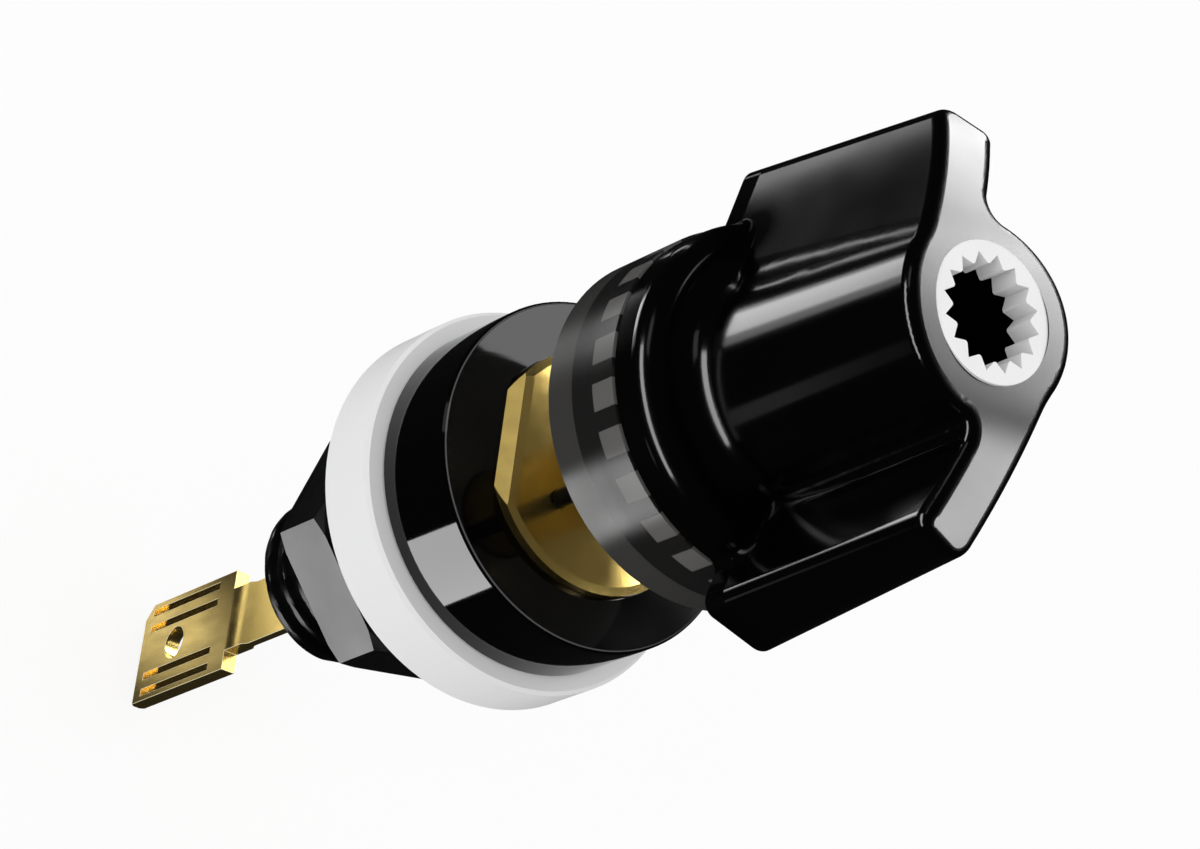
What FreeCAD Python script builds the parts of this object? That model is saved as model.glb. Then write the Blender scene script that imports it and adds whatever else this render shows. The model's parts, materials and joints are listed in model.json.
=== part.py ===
import FreeCAD, Part
import math
import os
import Sketcher

# A panel-mounted binding post: a two-winged clamping knob, a clear pressure ring, a gold contact
# plate and tab, and a flanged base that a hexagon nut holds in the panel.
# Millimetres. +Z points out of the panel towards the knob, and z = 0 is the panel seat.
# X is the way the solder tab is wide, and the flat of the contact plate faces -Y.

SIZES = [
    ("ring_diameter", 26.5, "colour ring, outside"),
    ("ring_height", 5.0, "colour ring, from the panel to its front"),
    ("ring_bevel", 0.25, "bevel round both edges of the colour ring"),
    ("flange_diameter", 24.0, "flange of the base"),
    ("flange_height", 7.0, "flange of the base, above the colour ring"),
    ("barrel_diameter", 12.0, "threaded barrel behind the panel"),
    ("barrel_reach", 19.2, "threaded barrel, from the panel to its end"),
    ("flange_bevel", 0.24, "bevel round both edges of the flange"),
    ("barrel_bevel", 0.4, "bevel at the end of the barrel"),
    ("recess_depth", 1.2, "seat sunk in the flange for the contact plate"),
    ("plate_diameter", 16.6, "contact plate"),
    ("plate_thickness", 2.05, "contact plate"),
    ("plate_flat", 7.55, "axis to the flat of the contact plate"),
    ("plate_rim", 0.55, "width of the shallow bevel round the plate's front"),
    ("plate_rim_drop", 0.13, "drop of the shallow bevel to the plate's edge"),
    ("seat_gap", 0.05, "gap round pieces that sit in a seat"),
    ("running_gap", 0.05, "radial clearance of threads and sliding fits"),
    ("pass_gap", 0.1, "radial clearance of pieces that only pass over another"),
    ("cut_margin", 1.0, "how far a cut runs past the faces that it opens"),
    ("post_diameter", 6.0, "threaded contact post"),
    ("post_front", 39.0, "front end of the post above the panel"),
    ("stem_diameter", 5.0, "rear stem of the post"),
    ("stem_reach", 16.2, "end of the stem behind the panel"),
    ("stem_inset", 1.2, "shoulder of the stem, inside the rear step of the base"),
    ("socket_diameter", 4.04, "socket for a 4 mm plug"),
    ("socket_depth", 21.0, "socket, from the front end of the post"),
    ("socket_bevel", 0.2, "bevel at the mouth of the socket"),
    ("pin_diameter", 1.2, "guide pin"),
    ("pin_circle", 4.2, "axis to the guide pin"),
    ("pin_angle", -45.0, "direction of the guide pin from X, degrees"),
    ("pin_length", 15.6, "guide pin"),
    ("pin_seat", 2.2, "how deep the pin sits in the pressure ring"),
    ("pin_spare", 0.5, "depth left under the pin with the knob screwed right down"),
    ("pin_bevel", 0.2, "bevel of the guide pin's tip"),
    ("press_diameter", 23.34, "pressure ring"),
    ("press_height", 6.9, "pressure ring"),
    ("press_start", 22.4, "clamping face above the panel, knob open"),
    ("press_bevel", 0.4, "bevel round the clamping face of the pressure ring"),
    ("web_thickness", 2.8, "solid end of the pressure ring"),
    ("wall_thickness", 2.45, "wall of the pressure ring round its hollow"),
    ("window_height", 2.0, "windows in the wall of the pressure ring"),
    ("window_width", 1.7, "windows in the wall of the pressure ring"),
    ("window_skin", 0.4, "clear skin left outside each window"),
    ("window_count", 24.0, "windows round the pressure ring"),
    ("washer_thickness", 0.6, "thrust washer and stem washer"),
    ("bush_head_diameter", 15.0, "head of the knob bush"),
    ("bush_head_height", 1.4, "head of the knob bush"),
    ("bush_neck_diameter", 11.2, "neck of the knob bush"),
    ("bush_shank_diameter", 9.6, "shank of the knob bush, pressed in the knob"),
    ("bush_shank_length", 7.6, "shank of the knob bush"),
    ("clip_thickness", 0.8, "spring clip in the pressure ring"),
    ("clip_inner_diameter", 13.2, "spring clip in the pressure ring"),
    ("clip_groove", 0.25, "depth of the groove for the spring clip"),
    ("clip_opening", 0.33, "opening of a spring clip, as a share of its outer radius"),
    ("face_gap", 0.1, "gap between faces that turn on each other"),
    ("knob_length", 21.8, "knob, from its skirt to the middle of its front"),
    ("skirt_diameter", 23.0, "skirt of the knob"),
    ("skirt_height", 3.2, "skirt of the knob"),
    ("skirt_round", 1.55, "rounding of the skirt"),
    ("root_round", 2.2, "hollow between skirt and hub"),
    ("root_overlap", 0.03, "how deep the hollow's head runs into the hub"),
    ("hub_root_diameter", 15.8, "hub of the knob at its skirt"),
    ("hub_front_diameter", 12.85, "hub of the knob at its front"),
    ("wing_start", 1.6, "axis to the start of a wing, inside the hub"),
    ("wing_reach", 14.85, "axis to the end of a wing at the skirt"),
    ("wing_far_side", 7.1, "axis to the outer side of a wing at the skirt"),
    ("wing_near_side", 1.2, "axis to the inner side of a wing at the skirt"),
    ("wing_end_draft", 4.7, "lean of a wing's end, degrees"),
    ("wing_side_draft", 2.4, "lean of a wing's sides, degrees"),
    ("wing_far_round", 1.5, "rounding of a wing's outer corner"),
    ("wing_near_round", 1.0, "rounding of a wing's inner corner"),
    ("wing_hub_round", 1.2, "hollow between the hub and a wing's inner side"),
    ("wing_crease_round", 8.0, "hollow between the hub and a wing's outer side"),
    ("wing_skirt_round", 0.8, "hollow between the skirt and a wing's inner side"),
    ("wing_angle", -15.0, "direction of the first wing from X, degrees"),
    ("front_radius", 30.3, "arch of the knob's front"),
    ("front_turn", 21.0, "direction of the arch from the first wing, degrees"),
    ("front_round", 0.85, "rounding of the knob's front edge"),
    ("knob_bore", 7.5, "bore of the knob above the bush"),
    ("insert_diameter", 9.0, "colour insert"),
    ("insert_depth", 2.2, "colour insert"),
    ("insert_root_diameter", 7.6, "splines of the insert, across their roots"),
    ("insert_tip_diameter", 6.2, "splines of the insert, across their tips"),
    ("spline_count", 16.0, "splines of the insert"),
    ("spline_share", 0.86, "share of the pitch that a groove takes at the tips"),
    ("stop_gap", 1.05, "opening travel left between bush and stop clip"),
    ("stop_diameter", 7.3, "stop clip on the post"),
    ("stop_groove", 0.4, "depth of the groove for the stop clip"),
    ("stop_thickness", 0.6, "stop clip on the post"),
    ("nut_across_flats", 17.0, "panel nut"),
    ("nut_height", 4.8, "panel nut"),
    ("nut_face_share", 1.08, "round face of a nut, as a share of its width across flats"),
    ("nut_cone_angle", 30.0, "slope of the cone that turns a nut's corners off, degrees"),
    ("nut_drop", 5.9, "panel nut below the seat, as fitted here"),
    ("rear_bore", 9.2, "wide bore in the end of the barrel"),
    ("rear_bore_depth", 7.2, "wide bore in the end of the barrel"),
    ("stem_nut_flats", 7.6, "nut on the stem"),
    ("stem_nut_height", 2.2, "nut on the stem"),
    ("plug_height", 2.4, "plug in the end of the barrel"),
    ("plug_inset", 0.3, "plug, behind the end of the barrel"),
    ("tab_thickness", 1.15, "solder tab"),
    ("tab_neck", 4.9, "solder tab, width of its neck"),
    ("tab_root", 0.65, "solder tab, thickness of its root"),
    ("tab_step", 28.9, "solder tab, where it gets its full thickness"),
    ("tab_step_run", 0.5, "slope between the root and the full thickness"),
    ("tab_width", 7.8, "solder tab, widest"),
    ("tab_start", 14.0, "solder tab, root inside the stem, behind the panel"),
    ("tab_shoulder", 31.1, "solder tab, where it widens"),
    ("tab_end", 43.7, "solder tab, far end behind the panel"),
    ("tab_corner", 1.3, "cut corner of the solder tab"),
    ("tab_bevel", 0.3, "bevel of the solder tab's far end"),
    ("tab_hole", 2.5, "wire hole of the solder tab"),
    ("tab_hole_place", 38.65, "wire hole behind the panel"),
    ("tab_slot_start", 33.2, "long slots, nearer end"),
    ("tab_slot_length", 9.2, "long slots"),
    ("tab_slot_width", 0.55, "long slots"),
    ("tab_slot_inner", 1.9, "middle of the tab to the inner slots"),
    ("tab_slot_outer", 3.2, "middle of the tab to the outer slots"),
]

doc = FreeCAD.newDocument("binding_post")
sheet = doc.addObject("Spreadsheet::Sheet", "sizes")
for row, (alias, value, meaning) in enumerate(SIZES, start=1):
    sheet.set("A%d" % row, alias)
    sheet.set("B%d" % row, str(value))
    sheet.set("C%d" % row, meaning)
    sheet.setAlias("B%d" % row, alias)
doc.recompute()

# Heights that several pieces share, each an expression on the sheet.
FLANGE_FRONT = "(sizes.ring_height + sizes.flange_height)"
SEAT_FLOOR = "(%s - sizes.recess_depth)" % FLANGE_FRONT
PLATE_FRONT = "(%s + sizes.plate_thickness)" % SEAT_FLOOR
WEB_FRONT = "(sizes.press_start + sizes.web_thickness)"
WASHER_FRONT = "(%s + sizes.face_gap / 2 + sizes.washer_thickness)" % WEB_FRONT
BUSH_REAR = "(%s + sizes.face_gap / 2)" % WASHER_FRONT
HEAD_FRONT = "(%s + sizes.bush_head_height)" % BUSH_REAR
CLIP_REAR = "(%s + sizes.face_gap)" % HEAD_FRONT
KNOB_REAR = "(sizes.press_start + sizes.press_height + sizes.face_gap)"
BUSH_FRONT = "(%s + sizes.bush_shank_length)" % KNOB_REAR
STOP_REAR = "(%s + sizes.stop_gap)" % BUSH_FRONT
TRAVEL_IN = "(sizes.press_start - %s)" % PLATE_FRONT
REAR_STEP = "(sizes.barrel_reach - sizes.rear_bore_depth)"
STEM_WASHER_REAR = "-%s - sizes.washer_thickness" % REAR_STEP

# How near two values are taken as the same, and what share of the knob counts as a long edge.
NEAR = 0.01
LONG_SHARE = 0.6


def new_body(name, height, turn="0"):
    """A body that stands at the given height and is turned about Z by the given angle."""
    body = doc.addObject("PartDesign::Body", name)
    body.Label = name
    body.setExpression("Placement.Base.z", height)
    if turn != "0":
        body.Placement = FreeCAD.Placement(FreeCAD.Vector(), FreeCAD.Rotation(FreeCAD.Vector(0, 0, 1), 1))
        body.setExpression("Placement.Rotation.Angle", turn + " * 1 deg")
    return body


def origin_plane(body, role):
    """The body's own origin plane or axis with that role."""
    for feature in body.Origin.OriginFeatures:
        if feature.Role == role:
            return feature
    raise ValueError(role)


def bind(sketch, kind, items, expression, drawn=1.0):
    """Adds a dimension to a sketch, at its length as drawn, and ties it to the sheet."""
    index = sketch.addConstraint(Sketcher.Constraint(kind, *items, drawn))
    sketch.setExpression("Constraints[%d]" % index, expression)


def new_sketch(body, name, role, height="0"):
    """An empty sketch on one of the body's origin planes, raised by height."""
    sketch = body.newObject("Sketcher::SketchObject", name)
    sketch.AttachmentSupport = (origin_plane(body, role), [""])
    sketch.MapMode = "FlatFace"
    if height != "0":
        sketch.setExpression("AttachmentOffset.Base.z", height)
    return sketch


def outline(body, name, role, corners, height="0"):
    """A closed outline of straight lines whose corners are tied to the sheet."""
    sketch = new_sketch(body, name, role, height)
    count = len(corners)
    start = [FreeCAD.Vector(5 * math.cos(i), 5 * math.sin(i), 0) for i in range(count)]
    for i in range(count):
        sketch.addGeometry(Part.LineSegment(start[i], start[(i + 1) % count]), False)
    for i in range(count):
        sketch.addConstraint(Sketcher.Constraint("Coincident", i, 2, (i + 1) % count, 1))
    for i, (across, up) in enumerate(corners):
        bind(sketch, "DistanceX", (-1, 1, i, 1), across)
        bind(sketch, "DistanceY", (-1, 1, i, 1), up)
    return sketch


def circle(body, name, role, diameter, place=("0", "0"), height="0"):
    """A circle of that diameter with its middle at place."""
    sketch = new_sketch(body, name, role, height)
    sketch.addGeometry(Part.Circle(FreeCAD.Vector(1, 1, 0), FreeCAD.Vector(0, 0, 1), 1), False)
    bind(sketch, "Diameter", (0,), diameter)
    bind(sketch, "DistanceX", (-1, 1, 0, 3), place[0])
    bind(sketch, "DistanceY", (-1, 1, 0, 3), place[1])
    return sketch


def turned(body, name, corners, kind="PartDesign::Revolution", role="XZ_Plane"):
    """Turns an outline of (radius, height) corners round the body's Z axis."""
    sketch = outline(body, name + "_outline", role, corners)
    feature = body.newObject(kind, name)
    feature.Profile = sketch
    feature.ReferenceAxis = (sketch, ["V_Axis"])
    feature.Angle = 360
    return feature


def pad(body, name, sketch, length, midplane=False):
    """Pads a sketch along its normal, or evenly both ways."""
    feature = body.newObject("PartDesign::Pad", name)
    feature.Profile = sketch
    feature.setExpression("Length", length)
    feature.Midplane = midplane
    return feature


def pocket(body, name, sketch, length, midplane=False, forwards=False):
    """Cuts a sketch into the body against its normal, along it, or evenly both ways."""
    feature = body.newObject("PartDesign::Pocket", name)
    feature.Profile = sketch
    feature.setExpression("Length", length)
    feature.Midplane = midplane
    feature.Reversed = forwards
    return feature


def round_edges(feature, places):
    """Names of the feature's circular edges at each (radius, height)."""
    doc.recompute()
    names = []
    for index, edge in enumerate(feature.Shape.Edges, start=1):
        if not isinstance(edge.Curve, Part.Circle):
            continue
        centre = edge.Curve.Center
        for radius, height in places:
            near = abs(edge.Curve.Radius - radius) < NEAR and abs(centre.z - height) < NEAR
            if near and math.hypot(centre.x, centre.y) < NEAR:
                names.append("Edge%d" % index)
    return names


def dress(body, kind, name, feature, edges, size):
    """A fillet or chamfer on named edges of a feature."""
    if not edges:
        raise ValueError("no edge found for " + name)
    dressing = body.newObject("PartDesign::" + kind, name)
    dressing.Base = (feature, edges)
    dressing.setExpression("Radius" if kind == "Fillet" else "Size", size)
    return dressing


def size(expression_name):
    """The sheet's value of one size."""
    return float(sheet.get(expression_name))


def make_base():
    """Flange and threaded barrel in one moulding, with the keyed seat for the contact plate."""
    body = new_body("base_body", "0")
    radius = "sizes.flange_diameter / 2"
    barrel = "sizes.barrel_diameter / 2"
    bore = "sizes.post_diameter / 2 + sizes.pass_gap"
    rear = "sizes.rear_bore / 2"
    shape = turned(body, "form", [
        (bore, "-" + REAR_STEP), (bore, FLANGE_FRONT), (radius, FLANGE_FRONT),
        (radius, "sizes.ring_height"), (barrel, "sizes.ring_height"), (barrel, "-sizes.barrel_reach"),
        (rear, "-sizes.barrel_reach"), (rear, "-" + REAR_STEP),
    ])
    front = size("ring_height") + size("flange_height")
    edges = round_edges(shape, [
        (size("flange_diameter") / 2, front), (size("flange_diameter") / 2, size("ring_height")),
    ])
    shape = dress(body, "Chamfer", "flange_edges", shape, edges, "sizes.flange_bevel")
    edges = round_edges(shape, [(size("barrel_diameter") / 2, -size("barrel_reach"))])
    shape = dress(body, "Chamfer", "barrel_end", shape, edges, "sizes.barrel_bevel")
    sketch = keyed_disc(body, "seat_outline", "sizes.plate_diameter / 2 + sizes.seat_gap",
                        "sizes.plate_flat + sizes.seat_gap", FLANGE_FRONT)
    pocket(body, "seat", sketch, "sizes.recess_depth")
    place = pin_place()
    hole = circle(body, "pin_hole_outline", "XY_Plane", "sizes.pin_diameter + 2 * sizes.running_gap",
                  place, SEAT_FLOOR)
    pocket(body, "pin_hole", hole, pin_hole_depth())
    return body


def pin_place():
    """Where the guide pin stands, as a pair of expressions."""
    turn = "(sizes.pin_angle * 1 deg)"
    return ("sizes.pin_circle * cos%s" % turn, "sizes.pin_circle * sin%s" % turn)


def pin_hole_depth():
    """Deep enough for the pin with the knob screwed right down."""
    below = "(sizes.pin_length - sizes.pin_seat - sizes.press_start + %s)" % SEAT_FLOOR
    return "%s + %s + sizes.pin_spare" % (below, TRAVEL_IN)


def keyed_disc(body, name, radius, flat, height):
    """A round outline with one flat side, facing -Y."""
    sketch = new_sketch(body, name, "XY_Plane", height)
    centre = FreeCAD.Vector(0, 0, 0)
    corner = FreeCAD.Vector(4, -7, 0)
    reach = corner.Length
    turn = math.atan2(corner.y, corner.x)
    ring = Part.Circle(centre, FreeCAD.Vector(0, 0, 1), reach)
    sketch.addGeometry(Part.ArcOfCircle(ring, turn, math.pi - turn), False)
    sketch.addGeometry(Part.LineSegment(FreeCAD.Vector(-4, -7, 0), corner), False)
    sketch.addConstraint(Sketcher.Constraint("Coincident", 0, 2, 1, 1))
    sketch.addConstraint(Sketcher.Constraint("Coincident", 1, 2, 0, 1))
    sketch.addConstraint(Sketcher.Constraint("Coincident", 0, 3, -1, 1))
    sketch.addConstraint(Sketcher.Constraint("Horizontal", 1))
    bind(sketch, "Radius", (0,), radius, reach)
    bind(sketch, "DistanceY", (1, 1, -1, 1), flat, -corner.y)
    return sketch


def make_colour_ring():
    """The coloured collar between the panel and the flange."""
    body = new_body("colour_ring", "0")
    inner = "sizes.barrel_diameter / 2 + sizes.pass_gap"
    outer = "sizes.ring_diameter / 2"
    shape = turned(body, "form", [
        (inner, "0"), (outer, "0"), (outer, "sizes.ring_height"), (inner, "sizes.ring_height"),
    ])
    radius = size("ring_diameter") / 2
    edges = round_edges(shape, [(radius, 0), (radius, size("ring_height"))])
    dress(body, "Chamfer", "edge_bevels", shape, edges, "sizes.ring_bevel")
    return body


def hexagon(body, name, across_flats):
    """A regular six-sided outline with two sides square to Y."""
    corners = []
    for k in range(6):
        turn = "(%d * 60 deg + 30 deg)" % k
        radius = "%s / 2 / cos(30 deg)" % across_flats
        corners.append(("%s * cos(%s)" % (radius, turn), "%s * sin(%s)" % (radius, turn)))
    return outline(body, name, "XY_Plane", corners)


def nut(name, base, across_flats, height, bore, turn="0"):
    """A hexagon nut whose corners are turned off to a cone at both ends."""
    body = new_body(name, base, turn)
    pad(body, "prism", hexagon(body, "prism_outline", across_flats), height)
    hole = circle(body, "bore_outline", "XY_Plane", bore)
    pocket(body, "bore", hole, height, forwards=True)
    flat = "%s / 2 * sizes.nut_face_share" % across_flats
    wide = "(%s / 2 / cos(30 deg) + sizes.cut_margin)" % across_flats
    drop = "(%s - %s) * tan(sizes.nut_cone_angle * 1 deg)" % (wide, flat)
    for end, face, inwards, outwards in (("front", height, "-", "+"), ("rear", "0", "+", "-")):
        beyond = "%s %s sizes.cut_margin" % (face, outwards)
        turned(body, end + "_cone", [
            (flat, face), (wide, "%s %s %s" % (face, inwards, drop)), (wide, beyond), (flat, beyond),
        ], "PartDesign::Groove")
    return body


def make_plate():
    """The gold contact plate: a disc with one sloped flat, a bevelled rim, a post hole and a pin hole."""
    body = new_body("contact_plate", SEAT_FLOOR)
    disc = keyed_disc(body, "disc_outline", "sizes.plate_diameter / 2", "sizes.plate_flat", "0")
    pad(body, "disc", disc, "sizes.plate_thickness")
    over = "(sizes.plate_thickness + sizes.cut_margin)"
    beyond = "-sizes.plate_flat - sizes.cut_margin"
    slope = outline(body, "slope_outline", "YZ_Plane", [
        (beyond, "sizes.recess_depth"), ("-sizes.plate_flat", "sizes.recess_depth"),
        ("-sizes.plate_flat + %s - sizes.recess_depth" % over, over), (beyond, over),
    ])
    shape = pocket(body, "sloped_flat", slope, "sizes.plate_diameter * 2", midplane=True)
    doc.recompute()
    names = []
    for index, edge in enumerate(shape.Shape.Edges, start=1):
        if min(vertex.Z for vertex in edge.Vertexes) > size("plate_thickness") - NEAR:
            names.append("Edge%d" % index)
    rim = dress(body, "Chamfer", "rim_bevel", shape, names, "sizes.plate_rim_drop")
    rim.ChamferType = "Two distances"
    rim.setExpression("Size2", "sizes.plate_rim")
    hole = circle(body, "post_hole_outline", "XY_Plane", "sizes.post_diameter")
    pocket(body, "post_hole", hole, "sizes.plate_thickness", forwards=True)
    wide = "sizes.pin_diameter + 2 * sizes.running_gap"
    hole = circle(body, "pin_hole_outline", "XY_Plane", wide, pin_place())
    pocket(body, "pin_hole", hole, "sizes.plate_thickness", forwards=True)
    return body


def make_post():
    """The contact post: plug socket in front, stem with a slot for the tab behind."""
    body = new_body("contact_post", "0")
    outer = "sizes.post_diameter / 2"
    stem = "sizes.stem_diameter / 2"
    socket = "sizes.socket_diameter / 2"
    groove = "sizes.post_diameter / 2 - sizes.stop_groove"
    step = "-(%s - sizes.stem_inset)" % REAR_STEP
    stop_front = "(%s + sizes.stop_thickness)" % STOP_REAR
    bottom = "sizes.post_front - sizes.socket_depth"
    shape = turned(body, "form", [
        ("0", "-sizes.stem_reach"), (stem, "-sizes.stem_reach"), (stem, step), (outer, step),
        (outer, STOP_REAR), (groove, STOP_REAR), (groove, stop_front), (outer, stop_front),
        (outer, "sizes.post_front"), (socket, "sizes.post_front"), (socket, bottom),
        ("0", bottom + " - sizes.socket_diameter / 4"),
    ])
    edges = round_edges(shape, [(size("socket_diameter") / 2, size("post_front"))])
    shape = dress(body, "Chamfer", "socket_mouth", shape, edges, "sizes.socket_bevel")
    half = "sizes.tab_root / 2"
    beyond = "-sizes.stem_reach - sizes.cut_margin"
    slot = outline(body, "tab_slot_outline", "YZ_Plane", [
        ("-" + half, "-sizes.tab_start"), (half, "-sizes.tab_start"), (half, beyond), ("-" + half, beyond),
    ])
    pocket(body, "tab_slot", slot, "sizes.stem_diameter * 2", midplane=True)
    return body


def make_pin():
    """The guide pin, fixed in the pressure ring and sliding in the base."""
    body = new_body("guide_pin", "sizes.press_start + sizes.pin_seat - sizes.pin_length")
    place = pin_place()
    body.setExpression("Placement.Base.x", place[0])
    body.setExpression("Placement.Base.y", place[1])
    radius = "sizes.pin_diameter / 2"
    shape = turned(body, "form", [
        ("0", "0"), (radius, "0"), (radius, "sizes.pin_length"), ("0", "sizes.pin_length"),
    ])
    edges = round_edges(shape, [(size("pin_diameter") / 2, 0)])
    dress(body, "Chamfer", "pin_tip", shape, edges, "sizes.pin_bevel")
    return body


def make_pressure_ring():
    """The clear pressure ring: a web that clamps, and a wall with windows near the knob."""
    body = new_body("pressure_ring", "sizes.press_start")
    outer = "sizes.press_diameter / 2"
    bore = "sizes.post_diameter / 2 + sizes.pass_gap"
    inner = "(sizes.press_diameter / 2 - sizes.wall_thickness)"
    groove = inner + " + sizes.clip_groove"
    groove_rear = "(%s - sizes.press_start - sizes.face_gap / 2)" % CLIP_REAR
    groove_front = "(%s + sizes.clip_thickness + sizes.face_gap)" % groove_rear
    shape = turned(body, "form", [
        (bore, "0"), (outer, "0"), (outer, "sizes.press_height"), (inner, "sizes.press_height"),
        (inner, groove_front), (groove, groove_front), (groove, groove_rear), (inner, groove_rear),
        (inner, "sizes.web_thickness"), (bore, "sizes.web_thickness"),
    ])
    edges = round_edges(shape, [(size("press_diameter") / 2, 0)])
    dress(body, "Chamfer", "clamping_edge", shape, edges, "sizes.press_bevel")
    half = "sizes.window_width / 2"
    near = inner + " + sizes.clip_groove * 2"
    far = "(sizes.press_diameter / 2 - sizes.window_skin)"
    window = outline(body, "window_outline", "XY_Plane", [
        (near, "-" + half), (far, "-" + half), (far, half), (near, half),
    ], "sizes.press_height")
    first = pocket(body, "window", window, "sizes.window_height")
    around = body.newObject("PartDesign::PolarPattern", "windows")
    around.Originals = [first]
    around.Axis = (origin_plane(body, "Z_Axis"), [""])
    around.Angle = 360
    around.setExpression("Occurrences", "sizes.window_count")
    body.Tip = around
    hole = circle(body, "pin_seat_outline", "XY_Plane", "sizes.pin_diameter", pin_place())
    pocket(body, "pin_seat", hole, "sizes.pin_seat", forwards=True)
    return body


def washer(name, height, inner, outer, thickness):
    """A flat ring."""
    body = new_body(name, height)
    turned(body, "form", [(inner, "0"), (outer, "0"), (outer, thickness), (inner, thickness)])
    return body


def open_clip(name, height, inner, outer, thickness):
    """A flat spring clip, open on its -X side."""
    body = washer(name, height, inner, outer, thickness)
    half = "(%s) * sizes.clip_opening / 2" % outer
    beyond = "-(%s) - sizes.cut_margin" % outer
    gap = outline(body, "gap_outline", "XY_Plane", [
        ("0", "-" + half), ("0", half), (beyond, half), (beyond, "-" + half),
    ])
    pocket(body, "gap", gap, thickness, forwards=True)
    return body


def make_bush():
    """The threaded metal bush of the knob, with the head that the pressure ring turns on."""
    body = new_body("knob_bush", BUSH_REAR)
    bore = "sizes.post_diameter / 2 + sizes.running_gap"
    head = "sizes.bush_head_diameter / 2"
    neck = "sizes.bush_neck_diameter / 2"
    shank = "sizes.bush_shank_diameter / 2"
    knob = "(%s - %s)" % (KNOB_REAR, BUSH_REAR)
    front = "(%s - %s)" % (BUSH_FRONT, BUSH_REAR)
    turned(body, "form", [
        (bore, "0"), (head, "0"), (head, "sizes.bush_head_height"), (neck, "sizes.bush_head_height"),
        (neck, knob), (shank, knob), (shank, front), (bore, front),
    ])
    return body


def make_insert():
    """The splined colour insert in the knob's front."""
    body = new_body("colour_insert", "%s + sizes.knob_length - sizes.insert_depth" % KNOB_REAR)
    outer = circle(body, "rim_outline", "XY_Plane", "sizes.insert_diameter")
    shape = pad(body, "rim", outer, "sizes.insert_depth - sizes.face_gap")
    hole = circle(body, "tip_outline", "XY_Plane", "sizes.insert_tip_diameter")
    shape = pocket(body, "tip_bore", hole, "sizes.insert_depth", forwards=True)
    tip = "sizes.insert_tip_diameter / 2"
    root = "sizes.insert_root_diameter / 2"
    half = "(180 deg / sizes.spline_count * sizes.spline_share)"
    groove = outline(body, "groove_outline", "XY_Plane", [
        (root, "0"), ("%s * cos%s" % (tip, half), "%s * sin%s" % (tip, half)),
        ("2 * %s - %s" % (tip, root), "0"), ("%s * cos%s" % (tip, half), "-%s * sin%s" % (tip, half)),
    ])
    first = pocket(body, "groove", groove, "sizes.insert_depth", forwards=True)
    around = body.newObject("PartDesign::PolarPattern", "splines")
    around.Originals = [first]
    around.Axis = (origin_plane(body, "Z_Axis"), [""])
    around.Angle = 360
    around.setExpression("Occurrences", "sizes.spline_count")
    body.Tip = around
    return body


def make_wings(body, top):
    """Two drafted wings: the far side of each runs on from the hub, and its end leans in more."""
    beyond = "(sizes.wing_reach + sizes.cut_margin)"
    over = "%s + sizes.cut_margin" % top
    lean = "%s * tan(sizes.wing_side_draft * 1 deg)" % top
    blade = outline(body, "wing_outline", "YZ_Plane", [
        ("sizes.wing_near_side", "0"), ("sizes.wing_far_side", "0"),
        ("sizes.wing_far_side - " + lean, top), ("sizes.wing_near_side + " + lean, top),
    ], "sizes.wing_start")
    wing = pad(body, "wing", blade, beyond + " - sizes.wing_start")
    clear = beyond + " + sizes.cut_margin"
    end = outline(body, "wing_end_outline", "XZ_Plane", [
        ("sizes.wing_reach", "0"), (clear, "0"), (clear, over),
        ("sizes.wing_reach - (%s) * tan(sizes.wing_end_draft * 1 deg)" % over, over),
    ])
    end_cut = pocket(body, "wing_end", end, "sizes.wing_reach * 2", midplane=True)
    pair = body.newObject("PartDesign::PolarPattern", "wings")
    pair.Originals = [wing, end_cut]
    pair.Axis = (origin_plane(body, "Z_Axis"), [""])
    pair.Angle = 360
    pair.Occurrences = 2
    body.Tip = pair
    return pair


def make_knob():
    """The two-winged knob: a turned hub and skirt, two drafted wings and an arched front."""
    body = new_body("wing_knob", KNOB_REAR, "sizes.wing_angle")
    bore = "sizes.knob_bore / 2"
    shank = "sizes.bush_shank_diameter / 2"
    insert = "sizes.insert_diameter / 2"
    skirt = "sizes.skirt_diameter / 2"
    top = "(sizes.knob_length + sizes.front_round)"
    over = top + " + sizes.cut_margin"
    pocket_floor = "sizes.knob_length - sizes.insert_depth"
    turned(body, "hub", [
        ("0", "0"), (skirt, "0"), (skirt, "sizes.skirt_height"),
        ("sizes.hub_root_diameter / 2", "sizes.skirt_height"), ("sizes.hub_front_diameter / 2", top),
        ("0", top),
    ], role="YZ_Plane")

    shape = make_wings(body, top)
    for which in ("crease", "far", "near", "hub"):
        edges = wing_edges(shape, which)
        shape = dress(body, "Fillet", which + "_rounds", shape, edges, "sizes.wing_%s_round" % which)
    shape = root_hollow(body, top)
    edges = round_edges(shape, [(size("skirt_diameter") / 2, size("skirt_height"))])
    shape = dress(body, "Fillet", "skirt_edge", shape, edges, "sizes.skirt_round")
    shape = dress(body, "Fillet", "skirt_hollows", shape, skirt_corners(shape), "sizes.wing_skirt_round")

    arch = arch_sketch(body, "front_arch_outline")
    shape = pocket(body, "front_arch", arch, "sizes.wing_reach * 4", midplane=True)
    shape = dress(body, "Fillet", "front_edge", shape, arch_edges(shape), "sizes.front_round")

    turned(body, "bores", [
        ("0", "-sizes.cut_margin"), (shank, "-sizes.cut_margin"), (shank, "sizes.bush_shank_length"),
        (bore, "sizes.bush_shank_length"), (bore, pocket_floor), (insert, pocket_floor), (insert, over),
        ("0", over),
    ], "PartDesign::Groove")
    return body


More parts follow.
